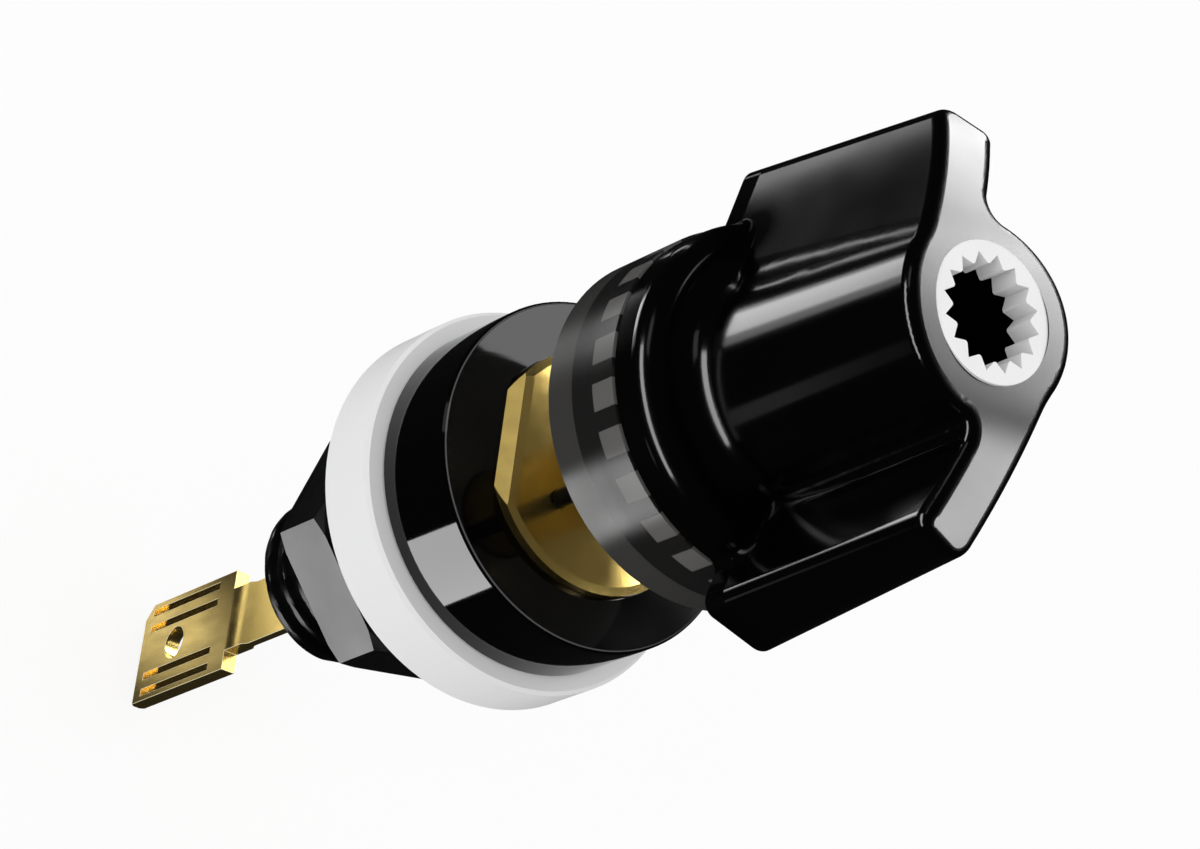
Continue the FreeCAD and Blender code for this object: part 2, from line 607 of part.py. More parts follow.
def root_hollow(body, top):
    """A ring of concave section that fills the corner between the skirt's front and the hub."""
    narrowing = "(sizes.hub_root_diameter - sizes.hub_front_diameter) / 2"
    lean = "(%s * sizes.root_round / (%s - sizes.skirt_height))" % (narrowing, top)
    hub = "sizes.hub_root_diameter / 2 - %s" % lean
    sketch = new_sketch(body, "root_hollow_outline", "YZ_Plane")
    inner = FreeCAD.Vector(5, 3, 0)
    foot = FreeCAD.Vector(10, 3, 0)
    head = FreeCAD.Vector(8, 5, 0)
    back = FreeCAD.Vector(5, 5, 0)
    ring = Part.Circle(FreeCAD.Vector(10, 5, 0), FreeCAD.Vector(0, 0, 1), 2)
    sketch.addGeometry(Part.ArcOfCircle(ring, math.pi, 1.5 * math.pi), False)
    for first, second in ((foot, inner), (inner, back), (back, head)):
        sketch.addGeometry(Part.LineSegment(first, second), False)
    for first, second in ((0, 1), (1, 2), (2, 3), (3, 0)):
        sketch.addConstraint(Sketcher.Constraint("Coincident", first, 2, second, 1))
    sketch.addConstraint(Sketcher.Constraint("Horizontal", 0, 1, 0, 3))
    sketch.addConstraint(Sketcher.Constraint("Vertical", 0, 2, 0, 3))
    sketch.addConstraint(Sketcher.Constraint("Horizontal", 1))
    sketch.addConstraint(Sketcher.Constraint("Vertical", 2))
    sketch.addConstraint(Sketcher.Constraint("Horizontal", 3))
    bind(sketch, "Radius", (0,), "sizes.root_round", 2)
    bind(sketch, "DistanceX", (-1, 1, 0, 1), hub + " - sizes.root_overlap", head.x)
    bind(sketch, "DistanceX", (-1, 1, 2, 1), "sizes.knob_bore / 2", inner.x)
    bind(sketch, "DistanceY", (-1, 1, 2, 1), "sizes.skirt_height", inner.y)
    feature = body.newObject("PartDesign::Revolution", "root_hollow")
    feature.Profile = sketch
    feature.ReferenceAxis = (sketch, ["V_Axis"])
    feature.Angle = 360
    doc.recompute()
    return feature


def skirt_corners(feature):
    """Names of the short upright edges where the wings' inner sides leave the skirt."""
    doc.recompute()
    names = []
    for index, edge in enumerate(feature.Shape.Edges, start=1):
        middle = edge.valueAt((edge.FirstParameter + edge.LastParameter) / 2)
        ends = [vertex.Point for vertex in edge.Vertexes]
        if len(ends) < 2 or max(end.z for end in ends) > size("skirt_height") + NEAR:
            continue
        upright = abs(ends[0].z - ends[1].z) > size("skirt_height") / 4
        out = math.hypot(middle.x, middle.y)
        skirt = size("skirt_diameter") / 2
        on_skirt = skirt - size("skirt_round") < out < skirt + NEAR
        if upright and on_skirt and abs(middle.y) < size("wing_far_side") / 2:
            names.append("Edge%d" % index)
    return names


def wing_edges(feature, which):
    """Names of the long edges of both wings: at the far corner, the near corner or the hub."""
    doc.recompute()
    names = []
    for index, edge in enumerate(feature.Shape.Edges, start=1):
        ends = [vertex.Point for vertex in edge.Vertexes]
        if len(ends) < 2 or abs(ends[0].z - ends[1].z) < LONG_SHARE * size("knob_length"):
            continue
        middle = edge.valueAt((edge.FirstParameter + edge.LastParameter) / 2)
        out = math.hypot(middle.x, middle.y)
        side = middle.y if middle.x > 0 else -middle.y
        if out < size("skirt_diameter") / 2:
            place = "hub" if side < size("wing_far_side") / 2 else "crease"
        else:
            place = "near" if side < size("wing_far_side") / 2 else "far"
        if place == which:
            names.append("Edge%d" % index)
    return names


def arch_sketch(body, name):
    """The region above the arched front, an arc centred on the axis, seen along the arch."""
    sketch = new_sketch(body, name, "XZ_Plane")
    turn = FreeCAD.Rotation(FreeCAD.Vector(0, 1, 0), 1)
    sketch.AttachmentOffset = FreeCAD.Placement(FreeCAD.Vector(), turn)
    sketch.setExpression("AttachmentOffset.Rotation.Angle", "sizes.front_turn * 1 deg")
    radius = 30
    half = math.radians(33)
    ring = Part.Circle(FreeCAD.Vector(0, -8, 0), FreeCAD.Vector(0, 0, 1), radius)
    sketch.addGeometry(Part.ArcOfCircle(ring, math.pi / 2 - half, math.pi / 2 + half), False)
    left = FreeCAD.Vector(-radius * math.sin(half), 17, 0)
    right = FreeCAD.Vector(radius * math.sin(half), 17, 0)
    up = FreeCAD.Vector(0, 10, 0)
    sketch.addGeometry(Part.LineSegment(left, left + up), False)
    sketch.addGeometry(Part.LineSegment(left + up, right + up), False)
    sketch.addGeometry(Part.LineSegment(right + up, right), False)
    for first, second in ((0, 1), (1, 2), (2, 3)):
        sketch.addConstraint(Sketcher.Constraint("Coincident", first, 2, second, 1))
    sketch.addConstraint(Sketcher.Constraint("Coincident", 3, 2, 0, 1))
    sketch.addConstraint(Sketcher.Constraint("Vertical", 1))
    sketch.addConstraint(Sketcher.Constraint("Vertical", 3))
    sketch.addConstraint(Sketcher.Constraint("Horizontal", 2))
    sketch.addConstraint(Sketcher.Constraint("PointOnObject", 0, 3, -2))
    bind(sketch, "Radius", (0,), "sizes.front_radius", radius)
    bind(sketch, "DistanceY", (0, 3, -1, 1), "sizes.front_radius - sizes.knob_length", 8)
    side = "sizes.wing_reach + 2 * sizes.cut_margin"
    lid = "sizes.knob_length + 4 * sizes.cut_margin"
    bind(sketch, "DistanceX", (-1, 1, 3, 2), side, right.x)
    bind(sketch, "DistanceY", (-1, 1, 2, 1), lid, left.y + up.y)
    return sketch


def arch_edges(feature):
    """Names of the edges round the arched front."""
    doc.recompute()
    for face in feature.Shape.Faces:
        surface = face.Surface
        if isinstance(surface, Part.Cylinder) and abs(surface.Radius - size("front_radius")) < NEAR:
            border = face.OuterWire.Edges
            return ["Edge%d" % (index + 1) for index, edge in enumerate(feature.Shape.Edges)
                    if any(edge.isSame(other) for other in border)]
    return []


def make_plug():
    """The plug that closes the barrel round the tab."""
    body = new_body("rear_plug", "-sizes.barrel_reach + sizes.plug_inset")
    disc = circle(body, "disc_outline", "XY_Plane", "sizes.rear_bore - 2 * sizes.running_gap")
    pad(body, "disc", disc, "sizes.plug_height")
    half = "sizes.tab_neck / 2 + sizes.running_gap"
    thick = "sizes.tab_root / 2 + sizes.running_gap"
    slot = outline(body, "slot_outline", "XY_Plane", [
        ("-(%s)" % half, "-(%s)" % thick), (half, "-(%s)" % thick), (half, thick), ("-(%s)" % half, thick),
    ])
    pocket(body, "slot", slot, "sizes.plug_height", forwards=True)
    return body


def make_tab():
    """The flat solder tab with its wire hole and long slots."""
    body = new_body("solder_tab", "0")
    neck = "sizes.tab_neck / 2"
    wide = "sizes.tab_width / 2"
    shape = pad(body, "blade", outline(body, "blade_outline", "XZ_Plane", [
        (neck, "-sizes.tab_start"), (neck, "-sizes.tab_shoulder"), (wide, "-sizes.tab_shoulder"),
        (wide, "-sizes.tab_end"), ("-(%s) + sizes.tab_corner" % wide, "-sizes.tab_end"),
        ("-(%s)" % wide, "-sizes.tab_end + sizes.tab_corner"), ("-(%s)" % wide, "-sizes.tab_shoulder"),
        ("-(%s)" % neck, "-sizes.tab_shoulder"), ("-(%s)" % neck, "-sizes.tab_start"),
    ]), "sizes.tab_thickness", midplane=True)
    doc.recompute()
    names = []
    for index, edge in enumerate(shape.Shape.Edges, start=1):
        low = max(vertex.Z for vertex in edge.Vertexes) < -size("tab_end") + NEAR
        if low and edge.Length > size("tab_thickness") * 2:
            names.append("Edge%d" % index)
    dress(body, "Chamfer", "end_bevel", shape, names, "sizes.tab_bevel")
    full = "sizes.tab_thickness / 2"
    thin = "sizes.tab_root / 2"
    for name, side in (("front", ""), ("rear", "-")):
        cut = outline(body, name + "_root_outline", "YZ_Plane", [
            (side + thin, "-sizes.tab_step + sizes.tab_step_run"), (side + full, "-sizes.tab_step"),
            (side + "(%s + sizes.cut_margin)" % full, "-sizes.tab_step"),
            (side + "(%s + sizes.cut_margin)" % full, "-sizes.tab_start + sizes.cut_margin"),
            (side + thin, "-sizes.tab_start + sizes.cut_margin"),
        ])
        pocket(body, name + "_root", cut, "sizes.tab_width", midplane=True)
    hole = circle(body, "wire_hole_outline", "XZ_Plane", "sizes.tab_hole", ("0", "-sizes.tab_hole_place"))
    pocket(body, "wire_hole", hole, "sizes.tab_thickness * 2", midplane=True)
    slots = []
    for name, place in {"inner": "sizes.tab_slot_inner", "outer": "sizes.tab_slot_outer"}.items():
        inner = place + " - sizes.tab_slot_width / 2"
        outer = place + " + sizes.tab_slot_width / 2"
        near = "-sizes.tab_slot_start"
        far = "-sizes.tab_slot_start - sizes.tab_slot_length"
        slot = outline(body, name + "_slot_outline", "XZ_Plane", [
            (inner, near), (outer, near), (outer, far), (inner, far),
        ])
        slots.append(pocket(body, name + "_slot", slot, "sizes.tab_thickness * 2", midplane=True))
    both = body.newObject("PartDesign::Mirrored", "slots")
    both.Originals = slots
    both.MirrorPlane = (origin_plane(body, "YZ_Plane"), [""])
    body.Tip = both
    return body


make_base()
make_colour_ring()
nut("panel_nut", "-sizes.nut_drop - sizes.nut_height", "sizes.nut_across_flats", "sizes.nut_height",
    "sizes.barrel_diameter + 2 * sizes.running_gap", "10")
make_plate()
make_post()
make_pin()
make_pressure_ring()
washer("thrust_washer", WEB_FRONT + " + sizes.face_gap / 2", "sizes.post_diameter / 2 + 2 * sizes.pass_gap",
       "sizes.bush_head_diameter / 2", "sizes.washer_thickness")
open_clip("ring_clip", CLIP_REAR, "sizes.clip_inner_diameter / 2",
          "sizes.press_diameter / 2 - sizes.wall_thickness + sizes.clip_groove - sizes.running_gap",
          "sizes.clip_thickness")
make_bush()
make_knob()
make_insert()
open_clip("stop_clip", STOP_REAR, "sizes.post_diameter / 2 - sizes.stop_groove", "sizes.stop_diameter / 2",
          "sizes.stop_thickness")
washer("stem_washer", STEM_WASHER_REAR, "sizes.stem_diameter / 2 + sizes.running_gap",
       "sizes.rear_bore / 2 - sizes.pass_gap", "sizes.washer_thickness")
nut("stem_nut", STEM_WASHER_REAR + " - sizes.stem_nut_height", "sizes.stem_nut_flats",
    "sizes.stem_nut_height", "sizes.stem_diameter + 2 * sizes.running_gap")
make_plug()
make_tab()
doc.recompute()

os.makedirs("parts", exist_ok=True)
for item in doc.Objects:
    if "Invalid" in item.State or "Error" in item.State:
        raise ValueError("%s isn't sound: %s" % (item.Name, item.State))
for item in doc.Objects:
    if item.TypeId != "PartDesign::Body":
        continue
    if item.Shape.isNull() or not item.Shape.isValid():
        raise ValueError(item.Label + " has no valid shape")
    item.Shape.exportStep("parts/%s.step" % item.Label)
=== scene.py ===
"""Looks of the binding post: studio, materials and the barrel's thread on the fixed CAD frame."""
import json
import math

import bmesh
import bpy
import numpy as np
from mathutils import Matrix, Vector


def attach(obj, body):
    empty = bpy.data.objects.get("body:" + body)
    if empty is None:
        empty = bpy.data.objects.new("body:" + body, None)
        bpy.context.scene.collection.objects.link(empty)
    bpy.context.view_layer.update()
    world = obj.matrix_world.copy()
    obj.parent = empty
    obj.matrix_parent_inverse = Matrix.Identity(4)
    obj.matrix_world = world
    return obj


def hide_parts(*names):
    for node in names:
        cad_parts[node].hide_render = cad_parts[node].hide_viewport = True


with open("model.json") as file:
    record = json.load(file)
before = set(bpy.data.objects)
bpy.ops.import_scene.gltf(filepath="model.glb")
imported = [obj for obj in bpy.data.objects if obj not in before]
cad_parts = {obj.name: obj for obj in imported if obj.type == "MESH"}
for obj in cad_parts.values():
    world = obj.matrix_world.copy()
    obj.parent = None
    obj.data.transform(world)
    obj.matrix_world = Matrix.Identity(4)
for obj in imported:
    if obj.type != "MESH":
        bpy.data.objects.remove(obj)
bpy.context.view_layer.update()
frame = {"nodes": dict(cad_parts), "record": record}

MM = 0.001

# Sizes of the object: lengths in millimetres, angles in degrees.

# The barrel of the base. Its thread is a wave that is raised and clipped, so crests and roots are flat.
THREAD_TOP = -1.2
BARREL_END = -19.2
BARREL_RADIUS = 6.0
THREAD_PITCH = 1.75
THREAD_DEPTH = 0.75
THREAD_RUN_OUT = 0.8
WAVE_GAIN = 0.95
WAVE_CLIP = 0.6
END_BEVEL = 0.4
END_STEP = 0.05
BORE_RADIUS = 3.1
REAR_BORE_RADIUS = 4.6
REAR_BORE_TOP = -12.0
ROWS_PER_PITCH = 20
STEPS_ROUND = 120

# The arched front of the knob, and how far its satin reaches over the edge.
ARCH_RADIUS = 30.3
ARCH_TOP = 51.2
ARCH_TURN = 6.0
SATIN_FADE = 0.16

# The wall of the knob's skirt leans in a little towards the front.
SKIRT_WALL_END = 31.05
SKIRT_LEAN = 0.2

# The inner corners between hub, skirt and wings, where polishing doesn't reach and the plastic hardly
# shines. Each stands for two: the other wing has the same one, half a turn round.
CORNERS = ((9.6, -1.4, 33.0), (9.3, 4.9, 32.6))
CORNER_CORE = 1.8
CORNER_REACH = 3.4

# The smoked ring: its clamping face, painted pale as a bounce for the gold plate, the end of its solid web,
# and its row of windows.
RING_REAR = 22.4
BOUNCE_FACE_DEPTH = 0.045
BOUNCE_FACE_BLUR = 0.015
RING_WEB_END = 25.2
WEB_BLUR = 0.04
WINDOW_REAR = 27.3
WINDOW_BLUR = 0.03
WINDOW_COUNT = 24
WINDOW_SHARE = 0.58
WINDOW_SIDE_BLUR = 0.012

# The front half of the bevel round the flange's front is painted lighter, as a painted highlight line along
# the rim.
RIM_HIGHLIGHT_RADIUS = 11.78
RIM_HIGHLIGHT_HEIGHT = 11.91
RIM_HIGHLIGHT_BLUR = 0.02

# The base is satin up to the panel seat and glossy from here.
GLOSS_START = 1.0

# The solder tab's rounded edges, which carry a painted highlight in pale gold.
TAB_EDGE = 0.07
TAB_EDGE_STEPS = 2
TAB_SHARP_ANGLE = 30

# Meshes, in metres and degrees.
MERGE_DISTANCE = 1e-6
CUT_DISTANCE = 1e-8
CREASE = 32.0
FLAT_ANGLE = 0.5


# Shapes


def thread_radius(angle, height):
    """Radius of an M12 thread: a rounded trapezoid wave of height minus turn, run out at its front end."""
    wave = np.cos(2 * np.pi * (height / THREAD_PITCH - angle / (2 * np.pi)))
    crest = np.clip(wave * WAVE_GAIN, -WAVE_CLIP, WAVE_CLIP) / (2 * WAVE_CLIP) + 0.5
    run_out = np.clip((THREAD_TOP - height) / THREAD_RUN_OUT, 0, 1)
    return BARREL_RADIUS - THREAD_DEPTH * (1 - crest) * run_out


def barrel_mesh():
    """A closed outline of radius and height carried round the axis. Its outer side follows the thread. The
    bevel at the end starts from the thread's last row and is always smaller than that."""
    rows = int((THREAD_TOP - BARREL_END - END_BEVEL) / THREAD_PITCH * ROWS_PER_PITCH)
    outer = np.linspace(THREAD_TOP, BARREL_END + END_BEVEL, rows)
    angle = np.linspace(0, 2 * np.pi, STEPS_ROUND, endpoint=False)
    turn, height = np.meshgrid(angle, outer, indexing="ij")
    radius = thread_radius(turn, height)
    inner = np.array([
        (BARREL_RADIUS - END_BEVEL, BARREL_END), (REAR_BORE_RADIUS, BARREL_END),
        (REAR_BORE_RADIUS, REAR_BORE_TOP), (BORE_RADIUS, REAR_BORE_TOP), (BORE_RADIUS, THREAD_TOP),
    ])
    ones = np.ones((STEPS_ROUND, 1))
    radius = np.hstack([np.minimum(radius, BARREL_RADIUS), ones * inner[:, 0]])
    radius[:, rows] = np.minimum(radius[:, rows], radius[:, rows - 1] - END_STEP)
    height = np.hstack([height, ones * inner[:, 1]])
    return ring_grid(angle, radius, height)


def ring_grid(angle, radius, height):
    """Points at the given radius and height for each angle, joined into quads that close both ways."""
    steps, rows = radius.shape
    x = radius * np.cos(angle)[:, None]
    y = radius * np.sin(angle)[:, None]
    points = np.stack([x, y, height], axis=-1).reshape(-1, 3) * MM
    i, j = np.meshgrid(np.arange(steps), np.arange(rows), indexing="ij")
    after, under = (i + 1) % steps, (j + 1) % rows
    quads = np.stack([i * rows + j, i * rows + under, after * rows + under, after * rows + j], axis=-1)
    return points, quads.reshape(-1, 4)


def make_moulded_base():
    """The base as moulded: flange and seat as in the CAD frame, and below them the threaded barrel."""
    form = merged_copy("base_body")
    everything = form.verts[:] + form.edges[:] + form.faces[:]
    cut = bmesh.ops.bisect_plane(form, geom=everything, plane_co=(0, 0, THREAD_TOP * MM),
                                 plane_no=(0, 0, -1), clear_outer=True, dist=CUT_DISTANCE)
    rim = [part for part in cut["geom_cut"] if isinstance(part, bmesh.types.BMEdge)]
    bmesh.ops.triangle_fill(form, use_beauty=True, edges=rim, normal=(0, 0, -1))
    points, quads = barrel_mesh()
    barrel = bpy.data.meshes.new("barrel")
    barrel.from_pydata(points.tolist(), [], quads.tolist())
    form.from_mesh(barrel)
    bmesh.ops.recalc_face_normals(form, faces=form.faces)
    mesh = finish_mesh(form, "moulded_base")
    bpy.data.meshes.remove(barrel)
    mesh.materials.append(BASE_BLACK)
    place_piece("moulded_base", mesh, "base_body")


def merged_copy(node_name):
    """The CAD node's mesh with its loose triangles joined."""
    form = bmesh.new()
    form.from_mesh(frame["nodes"][node_name].data)
    bmesh.ops.remove_doubles(form, verts=form.verts, dist=MERGE_DISTANCE)
    return form


def finish_mesh(form, name):
    """Writes the form to a mesh: smooth, with sharp edges where two faces meet at more than the crease."""
    for edge in form.edges:
        edge.smooth = edge.calc_face_angle(0.0) < math.radians(CREASE)
    for face in form.faces:
        face.smooth = True
    mesh = bpy.data.meshes.new(name)
    form.to_mesh(mesh)
    form.free()
    return mesh


def place_piece(name, mesh, replaced):
    """A fixed piece that stands for a CAD node."""
    piece = bpy.data.objects.new(name, mesh)
    bpy.context.scene.collection.objects.link(piece)
    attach(piece, "root")
    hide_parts(replaced)
    return piece


def make_stamped_tab():
    """The solder tab with the small round edges that plating and stamping give, painted pale gold as a
    highlight.
    """
    form = merged_copy("solder_tab")
    bmesh.ops.dissolve_limit(form, angle_limit=math.radians(FLAT_ANGLE), verts=form.verts, edges=form.edges)
    mesh = finish_mesh(form, "stamped_tab")
    mesh.materials.append(GOLD)
    mesh.materials.append(GOLD_EDGE_HIGHLIGHT)
    piece = place_piece("stamped_tab", mesh, "solder_tab")
    edges = piece.modifiers.new("edges", "BEVEL")
    edges.width = TAB_EDGE * MM
    edges.segments = TAB_EDGE_STEPS
    edges.limit_method = "ANGLE"
    edges.angle_limit = math.radians(TAB_SHARP_ANGLE)
    edges.harden_normals = True
    # The bevel's faces take the pale gold: a painted highlight along the tab's edges.
    edges.material = list(mesh.materials).index(GOLD_EDGE_HIGHLIGHT)


# Materials

# Scales of the noises, in spots for each metre: clouds in the gloss, tone of metal, moulded grain, marks.
CLOUDS = 180.0
KNOB_CLOUDS = 160.0
RING_CLOUDS = 200.0
TONES = 120.0
GRAIN = 2600.0
MARKS = 900.0

# Detail of the noises, and of the marks in metal.
NOISE_DETAIL = 3.0
MARKS_DETAIL = 4.0

# Sockets of the Mix node when it mixes colours.
MIX_FACTOR, MIX_LOW, MIX_HIGH, MIX_COLOUR = 0, 6, 7, 2

# The shader's Specular IOR Level: as the IOR says, and in the knob's inner corners.
FULL_SHINE = 0.5
CORNER_SHINE = 0.03

# The shader's values: IOR of clear and black plastic, how metallic metal is, how clear the ring is.
PLASTIC_IOR = 1.5
BASE_IOR = 1.45
METAL_SHARE = 0.98
RING_CLEARNESS = 0.2

# Shares: the darkest tone of a metal by its colour, and the ring's most roughness by its least.
METAL_DEEP = 0.86
RING_ROUGHEST = 1.4

# Strengths of the relief: grain, the knob's grain, and the marks in metal.
GRAIN_STRENGTH = 0.5
KNOB_GRAIN_STRENGTH = 0.4
MARKS_STRENGTH = 0.4


def empty_tree(owner):
    """The nodes and links of a material or world, with nothing in them."""
    owner.use_nodes = True
    owner.node_tree.nodes.clear()
    return owner.node_tree.nodes, owner.node_tree.links


def new_material(name):
    """An empty node material with its shader, output and Object coordinates."""
    material = bpy.data.materials.new(name)
    nodes, links = empty_tree(material)
    output = nodes.new("ShaderNodeOutputMaterial")
    shader = nodes.new("ShaderNodeBsdfPrincipled")
    coords = nodes.new("ShaderNodeTexCoord")
    links.new(shader.outputs["BSDF"], output.inputs["Surface"])
    return material, nodes, links, shader, coords


def noise(nodes, links, coords, scale, detail=NOISE_DETAIL, stretch=(1, 1, 1)):
    """A noise texture on Object coordinates, scaled per axis."""
    mapping = nodes.new("ShaderNodeMapping")
    mapping.inputs["Scale"].default_value = stretch
    texture = nodes.new("ShaderNodeTexNoise")
    texture.inputs["Scale"].default_value = scale
    texture.inputs["Detail"].default_value = detail
    links.new(coords.outputs["Object"], mapping.inputs["Vector"])
    links.new(mapping.outputs["Vector"], texture.inputs["Vector"])
    return texture.outputs["Fac"]


def ramp(nodes, links, source, low, high, start=0.3, end=0.7):
    """Turns a value between start and end into a value between low and high. The default start and end
    are about where a noise has its least and its most."""
    node = nodes.new("ShaderNodeMapRange")
    node.inputs["From Min"].default_value = start
    node.inputs["From Max"].default_value = end
    node.inputs["To Min"].default_value = low
    node.inputs["To Max"].default_value = high
    links.new(source, node.inputs["Value"])
    return node.outputs["Result"]


def past(nodes, links, length, limit, blur):
    """0 where a length is under the limit and 1 where it is over, blended over the blur on each side."""
    return ramp(nodes, links, length, 0.0, 1.0, (limit - blur) * MM, (limit + blur) * MM)


def math_node(nodes, links, operation, *values):
    """A Math node on links or plain numbers."""
    node = nodes.new("ShaderNodeMath")
    node.operation = operation
    for socket, value in zip(node.inputs, values):
        if isinstance(value, (int, float)):
            socket.default_value = value
        else:
            links.new(value, socket)
    return node.outputs["Value"]


def parts_of(nodes, links, vector):
    """The X, Y and Z of a vector."""
    node = nodes.new("ShaderNodeSeparateXYZ")
    links.new(vector, node.inputs["Vector"])
    return node.outputs["X"], node.outputs["Y"], node.outputs["Z"]


def distance_from_axis(nodes, links, x, y):
    """The length of X and Y together."""
    flat = nodes.new("ShaderNodeCombineXYZ")
    links.new(x, flat.inputs["X"])
    links.new(y, flat.inputs["Y"])
    node = nodes.new("ShaderNodeVectorMath")
    node.operation = "LENGTH"
    links.new(flat.outputs["Vector"], node.inputs[0])
    return node.outputs["Value"]


def distance_to(nodes, links, coords, point):
    """Distance from a point in Object coordinates."""
    node = nodes.new("ShaderNodeVectorMath")
    node.operation = "DISTANCE"
    node.inputs[1].default_value = point
    links.new(coords.outputs["Object"], node.inputs[0])
    return node.outputs["Value"]


def blend_colour(nodes, links, factor, low, high):
    """A colour between two by a 0 to 1 factor. Each of the two is three numbers or a node's output."""
    node = nodes.new("ShaderNodeMix")
    node.data_type = "RGBA"
    for socket, colour in ((node.inputs[MIX_LOW], low), (node.inputs[MIX_HIGH], high)):
        if isinstance(colour, tuple):
            socket.default_value = (*colour, 1)
        else:
            links.new(colour, socket)
    links.new(factor, node.inputs[MIX_FACTOR])
    return node.outputs[MIX_COLOUR]


def bump(nodes, links, shader, source, height, strength=1.0, under=None):
    """Relief of the given height in metres, on top of the relief under it where there is one."""
    node = nodes.new("ShaderNodeBump")
    node.inputs["Distance"].default_value = height
    node.inputs["Strength"].default_value = strength
    links.new(source, node.inputs["Height"])
    if under is not None:
        links.new(under, node.inputs["Normal"])
    links.new(node.outputs["Normal"], shader.inputs["Normal"])
    return node.outputs["Normal"]


def plastic(name, colour, rough, rough_spread, grain, grain_height, ior=PLASTIC_IOR):
    """Moulded plastic: an even colour, slightly uneven gloss and a very fine grain."""
    material, nodes, links, shader, coords = new_material(name)
    shader.inputs["Base Color"].default_value = (*colour, 1)
    shader.inputs["IOR"].default_value = ior
    clouds = noise(nodes, links, coords, CLOUDS)
    uneven = ramp(nodes, links, clouds, rough - rough_spread, rough + rough_spread)
    links.new(uneven, shader.inputs["Roughness"])
    bump(nodes, links, shader, noise(nodes, links, coords, grain), grain_height, GRAIN_STRENGTH)
    return material


def base_plastic(name, colour, rim_highlight, gloss, satin, rough_spread, grain_height):
    """Glossy plastic above the panel, and satin on the thread behind it, by height. The bevel round the
    flange's front is painted a little lighter, as a painted highlight line: it is where both the radius and
    the height are greatest."""
    material, nodes, links, shader, coords = new_material(name)
    shader.inputs["IOR"].default_value = BASE_IOR
    x, y, z = parts_of(nodes, links, coords.outputs["Object"])
    radius = distance_from_axis(nodes, links, x, y)
    # Painted highlight: the front half of the flange's bevel is coloured lighter as a highlight line round
    # the rim.
    outside = past(nodes, links, radius, RIM_HIGHLIGHT_RADIUS, RIM_HIGHLIGHT_BLUR)
    in_front = past(nodes, links, z, RIM_HIGHLIGHT_HEIGHT, RIM_HIGHLIGHT_BLUR)
    on_bevel = math_node(nodes, links, "MULTIPLY", outside, in_front)
    links.new(blend_colour(nodes, links, on_bevel, colour, rim_highlight), shader.inputs["Base Color"])
    rough = ramp(nodes, links, z, satin, gloss, 0.0, GLOSS_START * MM)
    uneven = ramp(nodes, links, noise(nodes, links, coords, CLOUDS), -rough_spread, rough_spread)
    links.new(math_node(nodes, links, "ADD", rough, uneven), shader.inputs["Roughness"])
    bump(nodes, links, shader, noise(nodes, links, coords, GRAIN), grain_height, GRAIN_STRENGTH)
    return material


def arch_depth(nodes, links, x, z):
    """How far a point lies behind the knob's arched front, whose height at x is
    top - radius + square root of (radius squared - x squared)."""
    squared = math_node(nodes, links, "MULTIPLY", x, x)
    rise = math_node(nodes, links, "SUBTRACT", (ARCH_RADIUS * MM) ** 2, squared)
    rise = math_node(nodes, links, "SQRT", rise)
    front = math_node(nodes, links, "ADD", rise, (ARCH_TOP - ARCH_RADIUS) * MM)
    return math_node(nodes, links, "SUBTRACT", front, z)


def corner_shine(nodes, links, coords):
    """Full shine, falling to hardly any in the inner corners beside the wings."""
    shine = 1.0
    for x, y, z in CORNERS:
        for side in (1, -1):
            off = distance_to(nodes, links, coords, (side * x * MM, side * y * MM, z * MM))
            clear = ramp(nodes, links, off, 0.0, 1.0, CORNER_CORE * MM, CORNER_REACH * MM)
            shine = math_node(nodes, links, "MULTIPLY", clear, shine)
    return ramp(nodes, links, shine, CORNER_SHINE, FULL_SHINE, 0.0, 1.0)


def knob_plastic(name, colour, gloss, satin, rough_spread, grain_height):
    """Glossy plastic, satin where a point lies on the knob's arched front, and dull in its inner corners.
    The lean of the skirt's wall is a slope on height up to the wall's end, under the grain."""
    material, nodes, links, shader, coords = new_material(name)
    shader.inputs["Base Color"].default_value = (*colour, 1)
    shader.inputs["IOR"].default_value = PLASTIC_IOR
    turned = nodes.new("ShaderNodeMapping")
    turned.inputs["Rotation"].default_value = (0, 0, math.radians(-ARCH_TURN))
    links.new(coords.outputs["Object"], turned.inputs["Vector"])
    x, _, z = parts_of(nodes, links, turned.outputs["Vector"])
    on_face = ramp(nodes, links, arch_depth(nodes, links, x, z), 1.0, 0.0, 0.0, SATIN_FADE * MM)
    rough = ramp(nodes, links, on_face, gloss, satin, 0.0, 1.0)
    uneven = ramp(nodes, links, noise(nodes, links, coords, KNOB_CLOUDS), -rough_spread, rough_spread)
    links.new(math_node(nodes, links, "ADD", rough, uneven), shader.inputs["Roughness"])
    links.new(corner_shine(nodes, links, coords), shader.inputs["Specular IOR Level"])
    wall = math_node(nodes, links, "MINIMUM", z, SKIRT_WALL_END * MM)
    slope = math_node(nodes, links, "MULTIPLY", wall, -SKIRT_LEAN)
    lean = bump(nodes, links, shader, slope, 1.0)
    grain = noise(nodes, links, coords, GRAIN)
    bump(nodes, links, shader, grain, grain_height, KNOB_GRAIN_STRENGTH, under=lean)
    return material


def metal(name, colour, rough, rough_spread, turning=(1, 1, 1), relief=0.000002):
    """Plated or turned metal, with fine marks stretched along the way it was worked."""
    material, nodes, links, shader, coords = new_material(name)
    shader.inputs["Metallic"].default_value = METAL_SHARE
    tone = ramp(nodes, links, noise(nodes, links, coords, TONES), 0.0, 1.0)
    deep = tuple(METAL_DEEP * value for value in colour)
    links.new(blend_colour(nodes, links, tone, deep, colour), shader.inputs["Base Color"])
    marks = noise(nodes, links, coords, MARKS, MARKS_DETAIL, turning)
    uneven = ramp(nodes, links, marks, rough - rough_spread, rough + rough_spread)
    links.new(uneven, shader.inputs["Roughness"])
    bump(nodes, links, shader, marks, relief, MARKS_STRENGTH)
    return material


